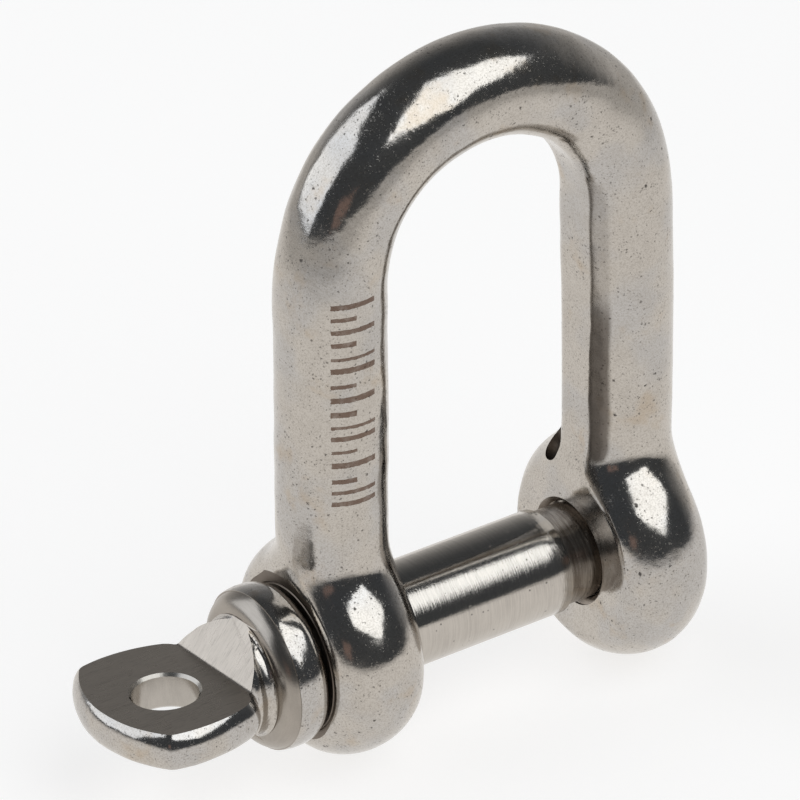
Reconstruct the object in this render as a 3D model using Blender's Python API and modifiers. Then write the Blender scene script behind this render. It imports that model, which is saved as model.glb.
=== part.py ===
"""Screw-pin dee shackle for 5 mm nominal rigging: a cast bow and a one-piece eye pin.

Frame: the origin is on the pin's axis, midway between the ears. +X runs along the pin
from its eye to the threaded ear, +Z runs up to the crown, and Y is normal to the bow.
The pin is one piece of steel. It is built as three solids, its head, its plain shank and
its thread, parted inside the ears, because it both turns and slides as it unscrews.
"""
import math

import bmesh
import bpy
from mathutils import Matrix

MM = 0.001

# bow: a round bar with a narrow flat along its inner side; the legs splay a little towards the ears
BAR_RADIUS = 2.43 * MM
BAR_FLAT_HALF_WIDTH = 0.95 * MM
LEG_OFFSET = 7.53 * MM
CROWN_RADIUS = 7.40 * MM
CROWN_RISE = 7.52 * MM
CROWN_CENTRE_HEIGHT = 17.58 * MM
CROWN_LEAN = -0.08 * MM
SECTION_STEPS = 28
CROWN_STEPS = 30
LEG_STEPS = 3

# ears: flat-faced barrels on the pin's axis; the tapped one is the larger in diameter
PLAIN_EAR_OUTER_X = -9.78 * MM
PLAIN_EAR_INNER_X = -5.20 * MM
PLAIN_EAR_RADIUS = 5.05 * MM
TAPPED_EAR_INNER_X = 5.10 * MM
TAPPED_EAR_OUTER_X = 9.72 * MM
TAPPED_EAR_RADIUS = 5.36 * MM
EAR_RIM_DEPTH = 1.88 * MM
EAR_RIM_STEPS = 12
EAR_STEPS = 48
EAR_PHASE = 0.25
SPOT_FACE_DEPTH = 0.05 * MM
SPOT_FACE_RADIUS = 5.0 * MM

# bores
CLEARANCE_BORE_RADIUS = 2.54 * MM
BORE_CHAMFER = 0.18 * MM
BORE_PHASE = 0.75
CUT_MARGIN = 1.0 * MM

# M5 x 0.8 right-hand thread
PITCH = 0.8 * MM
PIN_THREAD_RADIUS = 2.40 * MM
PIN_ROOT_RADIUS = 1.93 * MM
PIN_CREST_WIDTH = 0.07 * MM
NUT_THREAD_RADIUS = 2.52 * MM
NUT_CREST_RADIUS = 2.03 * MM
NUT_GROOVE_WIDTH = 0.10 * MM
TAP_CORE_GAP = 0.20 * MM
FLANK_RUN_PER_RISE = math.tan(math.radians(30))
THREAD_STEPS = 32

# pin
SHANK_RADIUS = 2.40 * MM
RELIEF_RADIUS = 1.85 * MM
SHANK_SHOULDER_X = 3.75 * MM
RELIEF_START_X = 4.60 * MM
SHANK_END_X = 5.45 * MM
THREAD_START_X = 5.75 * MM
THREAD_END_X = 9.62 * MM
THREAD_TIP_CHAMFER = 0.45 * MM
HEAD_GAP_X = -9.30 * MM
SPLIT_GAP = 0.30 * MM
SHANK_STEPS = 48

# head: collar, neck and flattened eye
COLLAR_BACK_X = -9.86 * MM
COLLAR_HALF_WIDTH = 1.14 * MM
COLLAR_RADIUS = 3.72 * MM
COLLAR_FACE_RADIUS = 2.80 * MM
COLLAR_RECESS = 0.05 * MM
NECK_RADIUS = 2.70 * MM
NECK_END_X = -14.6 * MM
COLLAR_RIM_STEPS = 10
EYE_TURN = math.radians(-4.7)
EYE_HALF_THICKNESS = 0.85 * MM
EYE_BLANK_HALF_THICKNESS = 1.12 * MM
EYE_ROOT_X = -13.25 * MM
EYE_ROOT_HALF_WIDTH = 3.20 * MM
EYE_SHOULDER_X = -15.0 * MM
EYE_SHOULDER_HALF_WIDTH = 4.05 * MM
EYE_CORNER_X = -17.95 * MM
EYE_CORNER_HALF_WIDTH = 4.02 * MM
EYE_APEX_X = -19.52 * MM
EYE_DOME_STEPS = 14
EYE_EDGE_ROUND = 0.95 * MM
EYE_HOLE_X = -16.22 * MM
EYE_HOLE_Y = -0.32 * MM
EYE_HOLE_RADIUS = 1.46 * MM
EYE_HOLE_CHAMFER = 0.13 * MM
EYE_HOLE_STEPS = 40
SLOPE_ANGLE = math.radians(53)
SLOPE_FOOT_X = -13.62 * MM

STEEL = (0.60, 0.58, 0.55)
ALONG_X = Matrix.Rotation(math.radians(90), 4, "Y")


def clear_scene():
    for old in list(bpy.data.objects):
        bpy.data.objects.remove(old, do_unlink=True)


def new_collection(name):
    collection = bpy.data.collections.new(name)
    bpy.context.scene.collection.children.link(collection)
    return collection


def steel(name, roughness):
    material = bpy.data.materials.new(name)
    material.use_nodes = True
    shader = material.node_tree.nodes["Principled BSDF"]
    shader.inputs["Base Color"].default_value = (*STEEL, 1)
    shader.inputs["Metallic"].default_value = 1.0
    shader.inputs["Roughness"].default_value = roughness
    return material


def add_object(name, data, collection, matrix=None):
    obj = bpy.data.objects.new(name, data)
    collection.objects.link(obj)
    if matrix is not None:
        obj.matrix_world = matrix
    return obj


def evaluated_mesh(obj):
    """The object's mesh with its modifiers applied; the object itself is removed."""
    bpy.context.view_layer.update()
    graph = bpy.context.evaluated_depsgraph_get()
    mesh = bpy.data.meshes.new_from_object(obj.evaluated_get(graph))
    bpy.data.objects.remove(obj, do_unlink=True)
    return mesh


def profile_object(name, points, collection):
    """An open polyline of (radius, height) points in the XZ plane, ready for a Screw modifier."""
    mesh = bpy.data.meshes.new(name)
    edges = [(i, i + 1) for i in range(len(points) - 1)]
    mesh.from_pydata([(radius, 0, height) for radius, height in points], edges, [])
    return add_object(name, mesh, collection)


def turned(name, points, steps, collection, phase=0.0):
    """A solid turned about the X axis from (radius, x) points that run from the far end back.

    The phase, in steps, keeps the facets' edges of shapes that are cut by each other apart.
    """
    obj = profile_object(name, points, collection)
    screw = obj.modifiers.new("turn", "SCREW")
    screw.steps = steps
    screw.render_steps = steps
    screw.use_merge_vertices = True
    screw.merge_threshold = 0.00001
    mesh = evaluated_mesh(obj)
    weld(mesh, flatten=True)
    mesh.shade_smooth()
    mesh.set_sharp_from_angle(angle=math.radians(35))
    turn = Matrix.Rotation(2 * math.pi * phase / steps, 4, "Z")
    return add_object(name, mesh, collection, ALONG_X @ turn)


def thread_profile(crest_radius, root_radius, crest_width):
    """One pitch of a 60 degree thread, from the middle of one root to the next, top to bottom."""
    flank = (crest_radius - root_radius) * FLANK_RUN_PER_RISE
    half_crest = crest_width / 2
    return [
        (root_radius, PITCH),
        (root_radius, PITCH / 2 + half_crest + flank),
        (crest_radius, PITCH / 2 + half_crest),
        (crest_radius, PITCH / 2 - half_crest),
        (root_radius, PITCH / 2 - half_crest - flank),
        (root_radius, 0),
    ]


def threaded_rod(name, profile, start, end, collection):
    """A right-hand threaded rod along X, cut square at both ends.

    Every rod's roots cross the same angle at whole pitches from the origin, so that they mesh.
    """
    first = PITCH * (math.floor(start / PITCH) - 1)
    turns = math.ceil((end - first) / PITCH) + 1
    obj = profile_object(name, profile, collection)
    screw = obj.modifiers.new("helix", "SCREW")
    screw.screw_offset = PITCH
    screw.iterations = turns
    screw.steps = THREAD_STEPS
    screw.render_steps = THREAD_STEPS
    screw.use_merge_vertices = True
    screw.merge_threshold = 0.00001
    mesh = evaluated_mesh(obj)
    mesh.transform(Matrix.Translation((0, 0, first)))
    shape = bmesh.new()
    shape.from_mesh(mesh)
    bmesh.ops.remove_doubles(shape, verts=shape.verts, dist=0.000002)
    for height, outward in ((start, -1), (end, 1)):
        bmesh.ops.bisect_plane(
            shape,
            geom=shape.verts[:] + shape.edges[:] + shape.faces[:],
            plane_co=(0, 0, height),
            plane_no=(0, 0, outward),
            clear_outer=True,
        )
        rim = [edge for edge in shape.edges
               if edge.is_boundary and all(abs(v.co.z - height) < 0.000001 for v in edge.verts)]
        bmesh.ops.holes_fill(shape, edges=rim)
    bmesh.ops.recalc_face_normals(shape, faces=shape.faces)
    shape.to_mesh(mesh)
    shape.free()
    return add_object(name, mesh, collection, ALONG_X.copy())


def flat_outline(name, points, half_thickness, collection, matrix):
    """A closed outline in the local XY plane, thickened both ways along local Z."""
    curve = bpy.data.curves.new(name, "CURVE")
    curve.dimensions = "2D"
    curve.fill_mode = "BOTH"
    curve.extrude = half_thickness
    spline = curve.splines.new("POLY")
    spline.points.add(len(points) - 1)
    for point, (x, y) in zip(spline.points, points):
        point.co = (x, y, 0, 1)
    spline.use_cyclic_u = True
    mesh = evaluated_mesh(add_object(name + "_outline", curve, collection))
    weld(mesh, flatten=True)
    return add_object(name, mesh, collection, matrix)


def weld(mesh, flatten=False):
    """Join loose caps to their sides and, if asked, make each flat cap one face."""
    shape = bmesh.new()
    shape.from_mesh(mesh)
    bmesh.ops.remove_doubles(shape, verts=shape.verts, dist=0.000001)
    if flatten:
        bmesh.ops.dissolve_limit(
            shape, angle_limit=math.radians(0.1), verts=shape.verts, edges=shape.edges)
    bmesh.ops.recalc_face_normals(shape, faces=shape.faces)
    shape.to_mesh(mesh)
    shape.free()


def combine(obj, other, operation):
    """Join another solid to the object, or cut it away, and keep the other as a hidden guide."""
    other.hide_render = True
    other.display_type = "WIRE"
    boolean = obj.modifiers.new(other.name, "BOOLEAN")
    boolean.object = other
    boolean.operation = operation
    boolean.solver = "EXACT"


def bar_section():
    """The bar's outline: a circle cut by the flat on its inner side, which faces +X here."""
    half_angle = math.asin(BAR_FLAT_HALF_WIDTH / BAR_RADIUS)
    sweep = 2 * math.pi - 2 * half_angle
    angles = [half_angle + sweep * i / (SECTION_STEPS - 1) for i in range(SECTION_STEPS)]
    return [(BAR_RADIUS * math.cos(a), BAR_RADIUS * math.sin(a)) for a in angles]


def bar_path():
    """The bar's centreline from the plain ear over the crown to the threaded ear, as (x, z)."""
    leg = [CROWN_CENTRE_HEIGHT * i / LEG_STEPS for i in range(LEG_STEPS)]
    crown = [math.pi * (1 - i / CROWN_STEPS) for i in range(CROWN_STEPS + 1)]
    splay = (CROWN_RADIUS - LEG_OFFSET) / CROWN_CENTRE_HEIGHT
    lean = CROWN_LEAN / CROWN_CENTRE_HEIGHT
    points = [(-LEG_OFFSET + (lean - splay) * z, z) for z in leg]
    points += [(CROWN_LEAN + CROWN_RADIUS * math.cos(a), CROWN_CENTRE_HEIGHT + CROWN_RISE * math.sin(a))
               for a in crown]
    return points + [(LEG_OFFSET + (lean + splay) * z, z) for z in reversed(leg)]


def bent_bar(collection):
    section = bpy.data.curves.new("bar_section", "CURVE")
    section.dimensions = "2D"
    outline = section.splines.new("POLY")
    corners = bar_section()
    outline.points.add(len(corners) - 1)
    for point, (x, y) in zip(outline.points, corners):
        point.co = (x, y, 0, 1)
    outline.use_cyclic_u = True
    section_object = add_object("bar_section", section, collection)

    curve = bpy.data.curves.new("bar_centreline", "CURVE")
    curve.dimensions = "2D"
    curve.bevel_mode = "OBJECT"
    curve.bevel_object = section_object
    curve.use_fill_caps = True
    spline = curve.splines.new("POLY")
    centreline = bar_path()
    spline.points.add(len(centreline) - 1)
    for point, (x, z) in zip(spline.points, centreline):
        point.co = (x, z, 0, 1)
    mesh = evaluated_mesh(add_object("bar_centreline", curve, collection))
    bpy.data.objects.remove(section_object, do_unlink=True)
    weld(mesh)
    mesh.shade_smooth()
    mesh.set_sharp_from_angle(angle=math.radians(20))
    return mesh


def barrel_profile(low, high, radius, rim_depth, rim_steps):
    """A flat-faced barrel, from its +X face over the rounded rim to its -X face."""
    centre = (low + high) / 2
    half = (high - low) / 2
    rim = [math.pi / 2 - math.pi * i / rim_steps for i in range(rim_steps + 1)]
    return [(radius - rim_depth + rim_depth * math.cos(a), centre + half * math.sin(a)) for a in rim]


def spot_face_profile(face):
    """A shallow cutter that starts at a face and runs outwards, away from the jaw."""
    low, high = sorted((face, face + math.copysign(CUT_MARGIN, face)))
    return [(0, high), (SPOT_FACE_RADIUS, high), (SPOT_FACE_RADIUS, low), (0, low)]


def plug_profile(radius, low, high, chamfer):
    """A round cutter between two faces that leaves the same chamfer at both of them."""
    return [
        (0, high + CUT_MARGIN),
        (radius + chamfer + CUT_MARGIN, high + CUT_MARGIN),
        (radius, high - chamfer),
        (radius, low + chamfer),
        (radius + chamfer + CUT_MARGIN, low - CUT_MARGIN),
        (0, low - CUT_MARGIN),
    ]


def add_ear(bow, name, low, high, radius, face, cutters):
    barrel = barrel_profile(low, high, radius, EAR_RIM_DEPTH, EAR_RIM_STEPS)
    ear = turned(name, [(0, high)] + barrel + [(0, low)], EAR_STEPS, cutters, EAR_PHASE)
    combine(bow, ear, "UNION")
    facing = turned(name + "_spot_face", spot_face_profile(face), EAR_STEPS, cutters)
    combine(bow, facing, "DIFFERENCE")


def make_bow(collection, cutters):
    bow = add_object("bow", bent_bar(cutters), collection, Matrix.Rotation(math.radians(90), 4, "X"))
    plain_face = PLAIN_EAR_OUTER_X + SPOT_FACE_DEPTH
    tapped_face = TAPPED_EAR_OUTER_X - SPOT_FACE_DEPTH
    add_ear(bow, "plain_ear", PLAIN_EAR_OUTER_X, PLAIN_EAR_INNER_X, PLAIN_EAR_RADIUS, plain_face, cutters)
    add_ear(bow, "tapped_ear", TAPPED_EAR_INNER_X, TAPPED_EAR_OUTER_X, TAPPED_EAR_RADIUS, tapped_face, cutters)
    bore = plug_profile(CLEARANCE_BORE_RADIUS, plain_face, PLAIN_EAR_INNER_X, BORE_CHAMFER)
    combine(bow, turned("plain_bore", bore, SHANK_STEPS, cutters, BORE_PHASE), "DIFFERENCE")
    groove = thread_profile(NUT_THREAD_RADIUS, NUT_CREST_RADIUS, NUT_GROOVE_WIDTH)
    tap = threaded_rod("tap", groove, TAPPED_EAR_INNER_X - PITCH, TAPPED_EAR_OUTER_X + PITCH, cutters)
    combine(bow, tap, "DIFFERENCE")
    core_radius = NUT_CREST_RADIUS - TAP_CORE_GAP
    mouth = plug_profile(core_radius, TAPPED_EAR_INNER_X, tapped_face, NUT_THREAD_RADIUS - core_radius)
    combine(bow, turned("thread_mouths", mouth, SHANK_STEPS, cutters, BORE_PHASE), "DIFFERENCE")
    bow.data.materials.append(steel("cast steel", 0.18))


def make_shank(collection):
    start = HEAD_GAP_X + SPLIT_GAP
    profile = [
        (0, SHANK_END_X),
        (RELIEF_RADIUS, SHANK_END_X),
        (RELIEF_RADIUS, RELIEF_START_X),
        (SHANK_RADIUS, SHANK_SHOULDER_X),
        (SHANK_RADIUS, start),
        (0, start),
    ]
    shank = turned("pin_shank", profile, SHANK_STEPS, collection)
    shank.data.materials.append(steel("polished steel", 0.12))


def make_thread(collection, cutters):
    ridge = thread_profile(PIN_THREAD_RADIUS, PIN_ROOT_RADIUS, PIN_CREST_WIDTH)
    thread = threaded_rod("pin_thread", ridge, THREAD_START_X, THREAD_END_X, collection)
    far = THREAD_END_X + CUT_MARGIN
    tip = [
        (PIN_THREAD_RADIUS + CUT_MARGIN, far),
        (PIN_THREAD_RADIUS + CUT_MARGIN, THREAD_END_X - THREAD_TIP_CHAMFER - CUT_MARGIN),
        (PIN_THREAD_RADIUS - THREAD_TIP_CHAMFER - CUT_MARGIN, far),
        (PIN_THREAD_RADIUS + CUT_MARGIN, far),
    ]
    combine(thread, turned("tip_chamfer", tip, SHANK_STEPS, cutters, BORE_PHASE), "DIFFERENCE")
    thread.data.materials.append(steel("threaded steel", 0.3))


def head_profile():
    """The stub in the plain ear, the collar with its rounded rim, and the neck."""
    front = COLLAR_BACK_X - 2 * COLLAR_HALF_WIDTH
    collar = barrel_profile(front, COLLAR_BACK_X, COLLAR_RADIUS, COLLAR_RADIUS - COLLAR_FACE_RADIUS,
                            COLLAR_RIM_STEPS)
    stub = [(0, HEAD_GAP_X), (SHANK_RADIUS, HEAD_GAP_X), (SHANK_RADIUS, COLLAR_BACK_X)]
    neck = [
        (NECK_RADIUS, front + COLLAR_RECESS),
        (NECK_RADIUS, NECK_END_X),
        (0, NECK_END_X),
    ]
    return stub + collar + neck


def eye_outline():
    """The eye's plan: sides that swell from the neck and end at two corners, with a domed end."""
    sagitta = EYE_CORNER_X - EYE_APEX_X
    half = EYE_CORNER_HALF_WIDTH
    radius = (half * half + sagitta * sagitta) / (2 * sagitta)
    reach = math.asin(half / radius)
    dome = [reach * (2 * i / EYE_DOME_STEPS - 1) for i in range(EYE_DOME_STEPS + 1)]
    points = [(EYE_SHOULDER_X, EYE_SHOULDER_HALF_WIDTH), (EYE_ROOT_X, EYE_ROOT_HALF_WIDTH),
              (EYE_ROOT_X, -EYE_ROOT_HALF_WIDTH), (EYE_SHOULDER_X, -EYE_SHOULDER_HALF_WIDTH)]
    return points + [(EYE_APEX_X + radius - radius * math.cos(a), radius * math.sin(a)) for a in dome]


def slope_outline():
    """The ground relief over one face of the eye: flat over the eye, then a ramp up to the collar."""
    top = COLLAR_FACE_RADIUS
    lip = NECK_RADIUS + 2 * CUT_MARGIN
    far = EYE_APEX_X - 2 * CUT_MARGIN
    head = SLOPE_FOOT_X + (top - EYE_HALF_THICKNESS) / math.tan(SLOPE_ANGLE)
    return [(far, EYE_HALF_THICKNESS), (SLOPE_FOOT_X, EYE_HALF_THICKNESS), (head, top), (SLOPE_FOOT_X, lip),
            (far, lip)]


def make_head(collection, cutters):
    at_rest = Matrix.Rotation(EYE_TURN, 4, "X")
    head = turned("pin_head", head_profile(), SHANK_STEPS, collection)
    eye = flat_outline("eye_plate", eye_outline(), EYE_BLANK_HALF_THICKNESS, cutters, at_rest)
    rounding = eye.modifiers.new("rounded edge", "BEVEL")
    rounding.width = EYE_EDGE_ROUND
    rounding.segments = 5
    rounding.limit_method = "ANGLE"
    rounding.angle_limit = math.radians(40)
    combine(head, eye, "UNION")
    for side, name in ((1, "upper_relief"), (-1, "lower_relief")):
        upright = at_rest @ Matrix.Rotation(math.radians(90 * side), 4, "X")
        relief = flat_outline(name, slope_outline(), COLLAR_RADIUS + CUT_MARGIN, cutters, upright)
        combine(head, relief, "DIFFERENCE")
    hole = plug_profile(EYE_HOLE_RADIUS, -EYE_HALF_THICKNESS, EYE_HALF_THICKNESS, EYE_HOLE_CHAMFER)
    drill = turned("eye_hole", hole, EYE_HOLE_STEPS, cutters)
    drill.matrix_world = at_rest @ Matrix.Translation((EYE_HOLE_X, EYE_HOLE_Y, 0))
    combine(head, drill, "DIFFERENCE")
    head.data.materials.append(steel("ground steel", 0.3))


def main():
    clear_scene()
    parts = new_collection("dee_shackle")
    cutters = new_collection("cutters")
    make_bow(parts, cutters)
    make_head(parts, cutters)
    make_shank(parts)
    make_thread(parts, cutters)


main()
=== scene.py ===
"""Looks for the screw-pin dee shackle: a tumbled stainless casting and a polished screw pin.

Everything is in the row's frame: the origin is on the pin's axis, midway between the ears, +X runs
from the pin's eye to the tapped ear and +Z runs up to the crown. Shape functions work in
millimetres, and so do the constants, unless a comment says otherwise.
"""
import math

import bmesh
import bpy
import numpy as np
from mathutils import Matrix, Vector, noise

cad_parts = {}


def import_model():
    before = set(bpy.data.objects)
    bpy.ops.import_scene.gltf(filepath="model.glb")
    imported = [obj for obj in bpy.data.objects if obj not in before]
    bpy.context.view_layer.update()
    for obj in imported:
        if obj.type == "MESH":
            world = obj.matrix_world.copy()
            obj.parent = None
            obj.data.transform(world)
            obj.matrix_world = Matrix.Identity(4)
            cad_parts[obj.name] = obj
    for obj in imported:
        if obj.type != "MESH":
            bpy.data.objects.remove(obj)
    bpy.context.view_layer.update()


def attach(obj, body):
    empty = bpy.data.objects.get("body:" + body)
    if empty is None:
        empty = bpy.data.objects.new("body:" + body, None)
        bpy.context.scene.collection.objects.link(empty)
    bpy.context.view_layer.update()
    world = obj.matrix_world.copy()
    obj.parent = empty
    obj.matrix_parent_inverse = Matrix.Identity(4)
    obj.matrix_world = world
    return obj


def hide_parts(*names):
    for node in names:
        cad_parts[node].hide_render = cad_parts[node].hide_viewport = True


MM = 0.001
ALONG_X = Matrix.Rotation(math.radians(90), 4, "Y")

# ---------------------------------------------------------------- camera
CAMERA_AZIMUTH = math.radians(34.348)
CAMERA_ELEVATION = math.radians(31.736)
CAMERA_ROLL = math.radians(-0.09)
CAMERA_PLACE = (-139.328, -198.140, 159.428)
LENS = 297.746

# ---------------------------------------------------------------- bow
# The bar has a round section. FLAT_OFFSET is the narrow flat along its inner side, and the DRESSED
# values are the slightly wandering facet beside that flat on the tapped leg.
BAR_RADIUS = 2.43
FLAT_OFFSET = 2.2366
ARRIS_ROUND = 0.10
DRESSED_TILT = math.radians(31.3)
DRESSED_OFFSET = 2.404
DRESSED_EDGE = 0.02
DRESSED_TOP = 12.0
DRESSED_FADE = (0.06, 4.0)
WANDER = ((0.007, 1.1, 0.0), (0.007, 2.7, 1.0), (0.006, 5.9, 0.0))
# The legs lean in a little towards the crown, whose left shoulder is a little full.
LEG_OFFSET = 7.53
CROWN_HALF_WIDTH = 7.40
CROWN_RISE = 7.52
CROWN_HEIGHT = 17.58
CROWN_LEAN = -0.08
CROWN_BULGE = 0.15
CROWN_THIN = 0.07
CROWN_THIN_FROM = (17.0, 20.5)
LEG_SHIFTS = (0.14, 0.05)
LEG_SHIFT_FADE = (12.0, 19.0)
LEG_END_HEIGHT = 1.0
LEG_END_ROUND = 0.5
# Each ear is a barrel between a flat jaw face and a rounded back, as far along X as its reaches say.
PLAIN_EAR = {"jaw": -5.20, "back": -9.75, "jaw_reach": 1.07, "back_reach": 1.04,
             "radius": 5.05, "middle": (0.18, -0.05), "narrowing": 1.0}
TAPPED_EAR = {"jaw": 5.10, "back": 9.72, "jaw_reach": 1.08, "back_reach": 1.0,
              "radius": 5.36, "middle": (-0.15, 0.0), "narrowing": 0.972}
EAR_RIM_DEPTH = 1.88
EAR_FILLET = 1.1
EAR_TOP = 12.0
JAW_EDGE_ROUND = 0.07
# The plain leg's back is cut level with its ear, leaning away above LAP_TOP.
LAP_TOP = 3.4
LAP_LEAN = 0.15
LAP_ROUND = 0.22
# A small hollow beside the tapped leg, the faced ring round each bore, and the plain bore.
HOLLOW_PLACE = (5.60, 1.75, 4.75)
HOLLOW_SIZE = (0.95, 0.85, 1.00)
SPOT_FACE_DEPTH = 0.05
SPOT_FACE_RADIUS = 3.95
GROOVE_RADIUS = 3.40
GROOVE_DEPTH = 0.06
GROOVE_HALF_WIDTH = 0.05
BORE_RADIUS = 2.54
BORE_CHAMFER = 0.18
BOW_BOX = (-10.7, -5.9, -5.9), (10.7, 5.9, 28.2)
BOW_MESH_STEP = 0.15
BOW_WAVES = ((0.22, 0.05, 3.0), (0.7, 0.022, 7.0))
BOW_SMOOTH_BELOW = 32
CUT_STEPS = 96
CUT_PHASE = 0.7

# ---------------------------------------------------------------- thread
# The nut's thread is cut larger than the pin's, which leaves the clearance between them.
PITCH = 0.8
PIN_THREAD_RADIUS = 2.40
PIN_ROOT_RADIUS = 1.93
PIN_CREST_WIDTH = 0.07
NUT_THREAD_RADIUS = 2.52
NUT_CREST_RADIUS = 2.03
NUT_GROOVE_WIDTH = 0.10
TAP_CORE_GAP = 0.20
FLANK_RUN_PER_RISE = math.tan(math.radians(30))
THREAD_STEPS = 72
THREAD_START_X = 5.62
THREAD_END_X = 9.62
TIP_CHAMFER = 0.45
THREAD_SMOOTH_BELOW = 24

# ---------------------------------------------------------------- pin
# The polished shank, its shoulder, the relieved neck beside the tapped ear, and the core inside it.
SHANK_RADIUS = 2.40
SHANK_START_X = -9.28
SHOULDER_X = 3.66
RELIEF_RADIUS = 2.20
RELIEF_END_X = 5.38
CORE_RADIUS = 1.85
SHANK_END_X = 5.60
SHANK_EDGE = 0.05
SHANK_SMOOTH_BELOW = 30
TURNED_STEPS = 128
EYE_TURN = math.radians(-4.7)


def smooth_min(a, b, blend):
    share = np.clip(0.5 + 0.5 * (b - a) / blend, 0, 1)
    return b + (a - b) * share - blend * share * (1 - share)


def smooth_max(a, b, blend):
    return -smooth_min(-a, -b, blend)


def flowing(x, places, values):
    """A smooth step from each value to the next between these places."""
    result = np.full(np.shape(x), float(values[0]))
    for low, high, start, end in zip(places, places[1:], values, values[1:]):
        share = np.clip((x - low) / (high - low), 0, 1)
        result = result + (end - start) * share * share * (3 - 2 * share)
    return result


def oval_field(across, along, half_across, half_along, power=2.0):
    """Distance, near enough, to an ellipse about the origin; a power over 2 makes it squarer."""
    u = np.abs(across) / half_across
    v = np.maximum(np.abs(along), 1e-4) / half_along
    reach = (u**power + v**power)**(1 / power)
    slope = np.hypot(u**(power - 1) / half_across, v**(power - 1) / half_along) * reach**(1 - power)
    return (reach - 1) / slope


# ---------------------------------------------------------------- shape fields, negative inside

def bar_field(x, y, z):
    """The bent bar: a round section with a narrow flat along its inner side."""
    height = np.clip(z / CROWN_HEIGHT, 0, 1)
    spread = flowing(z, LEG_SHIFT_FADE, (1.0, 0.0))
    across = x - CROWN_LEAN * height - spread * np.where(x > 0, *LEG_SHIFTS)
    up = z - CROWN_HEIGHT
    angle = np.arctan2(up, across)
    mean, oval = (CROWN_HALF_WIDTH + CROWN_RISE) / 2, (CROWN_RISE - CROWN_HALF_WIDTH) / 2
    bulge = np.where(across < 0, CROWN_BULGE * np.sin(2 * angle)**2, 0)
    crown = mean + bulge - oval * np.cos(2 * angle) - np.hypot(across, up)
    thin = flowing(z, CROWN_THIN_FROM, (0.0, CROWN_THIN))
    leg = LEG_OFFSET + (CROWN_HALF_WIDTH - LEG_OFFSET) * height - np.abs(across)
    inward = np.where(up > 0, crown, leg)
    section = smooth_max(np.hypot(inward, y) - BAR_RADIUS, inward - FLAT_OFFSET, ARRIS_ROUND) + thin
    wander = sum(height * np.sin(rate * z + phase) for height, rate, phase in WANDER)
    dressed = inward * math.cos(DRESSED_TILT) - y * math.sin(DRESSED_TILT) - DRESSED_OFFSET - wander
    dressed = dressed - DRESSED_FADE[0] * np.clip((z - DRESSED_TOP) / DRESSED_FADE[1], 0, 1)
    section = np.where(x > 0, smooth_max(section, dressed, DRESSED_EDGE), section)
    return smooth_max(section, LEG_END_HEIGHT - z, LEG_END_ROUND)


def ear_field(x, y, z, ear):
    """A barrel on the pin's axis with a full round rim and a flat jaw face."""
    side = math.copysign(1, ear["jaw"])
    middle = (ear["jaw"] + ear["back"]) / 2
    half = abs(ear["back"] - ear["jaw"]) / 2
    along = (x - middle) * side
    reach = half * np.where(along < 0, ear["jaw_reach"], ear["back_reach"])
    y, z = (y - ear["middle"][0]) / ear["narrowing"], z - ear["middle"][1]
    outward = np.maximum(np.hypot(y, z) - (ear["radius"] - EAR_RIM_DEPTH), 0)
    return oval_field(outward, along, EAR_RIM_DEPTH, reach)


def bow_field(x, y, z):
    bow = bar_field(x, y, z)
    for ear in (PLAIN_EAR, TAPPED_EAR):
        side = math.copysign(1, ear["jaw"])
        bow = smooth_min(bow, ear_field(x, y, z, ear), EAR_FILLET)
        jaw = np.where((z < EAR_TOP) & (x * side > 0), ear["jaw"] * side - x * side, -BAR_RADIUS)
        bow = smooth_max(bow, jaw, JAW_EDGE_ROUND)
    lap = PLAIN_EAR["back"] - x - LAP_LEAN * np.maximum(z - LAP_TOP, 0)
    return smooth_max(bow, lap, LAP_ROUND)


# ---------------------------------------------------------------- the pin's head

# The collar is a round-rimmed disc with a squarer back; RING is the dulled band on its front.
COLLAR_MIDDLE_X = -11.00
COLLAR_FRONT_WIDTH = 1.15
COLLAR_BACK_WIDTH = 1.17
COLLAR_BACK_POWER = 3.0
COLLAR_RIM_CENTRE = 2.75
COLLAR_RIM_DEPTH = 0.97
COLLAR_DISC = (-12.04, -9.83, 3.0)
COLLAR_FILLET = 0.22
NECK_SHAPE = ((-14.3, 2.84), (-13.6, 2.86), (-13.0, 2.74), (-12.5, 2.62), (-12.0, 2.62))
NECK_END_X = -14.2
NECK_FILLET = 0.12
STUB = (-10.5, -9.29, 2.40)
STUB_FILLET = 0.05
RING_FROM = (-12.22, 2.80)
RING_OVAL = (1.10, 0.93)
RING_ARC = (0, 64)
RING_REACH = 4.2
# The eye's outline is two side arcs and an end arc, ground flat on both faces up to a sloped ramp.
EYE_SIDE_CENTRE = (-16.5, 2.4)
EYE_SIDE_RADIUS = 6.55
EYE_DOME_CENTRE_X = -13.35
EYE_DOME_RADIUS = 6.25
EYE_CORNER_ROUND = 0.14
EYE_ROOT_X = -13.25
EYE_ROOT_ROUND = 0.7
EYE_SKEW = 0.05
EYE_SKEW_X = -17.4
EYE_ROUND = 0.95
EYE_BLANK_HALF = 1.13
EYE_HALF_THICKNESS = 0.85
HOLE_X = -16.22
HOLE_Y = -0.32
HOLE_RADIUS = 1.46
HOLE_CHAMFER = 0.13
HOLE_STEPS = 80
SLOPE_FOOT_X = -13.62
SLOPE_FILLET = 0.22
SLOPE_ANGLE = math.radians(53)
SLOPE_SKEW = math.radians(-2.1)
SLOPE_TOP = 2.72
SLOPE_LIP = (-13.4, 4.2)
SLOPE_HALF_WIDTH = 6.0
HEAD_BOX = (-20.0, -5.0, -4.3), (-9.0, 5.0, 4.3)
HEAD_MESH_STEP = 0.095
HEAD_WAVES = ((0.35, 0.03, 11.0), (1.0, 0.015, 5.0))
HEAD_SMOOTH_BELOW = 24


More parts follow.
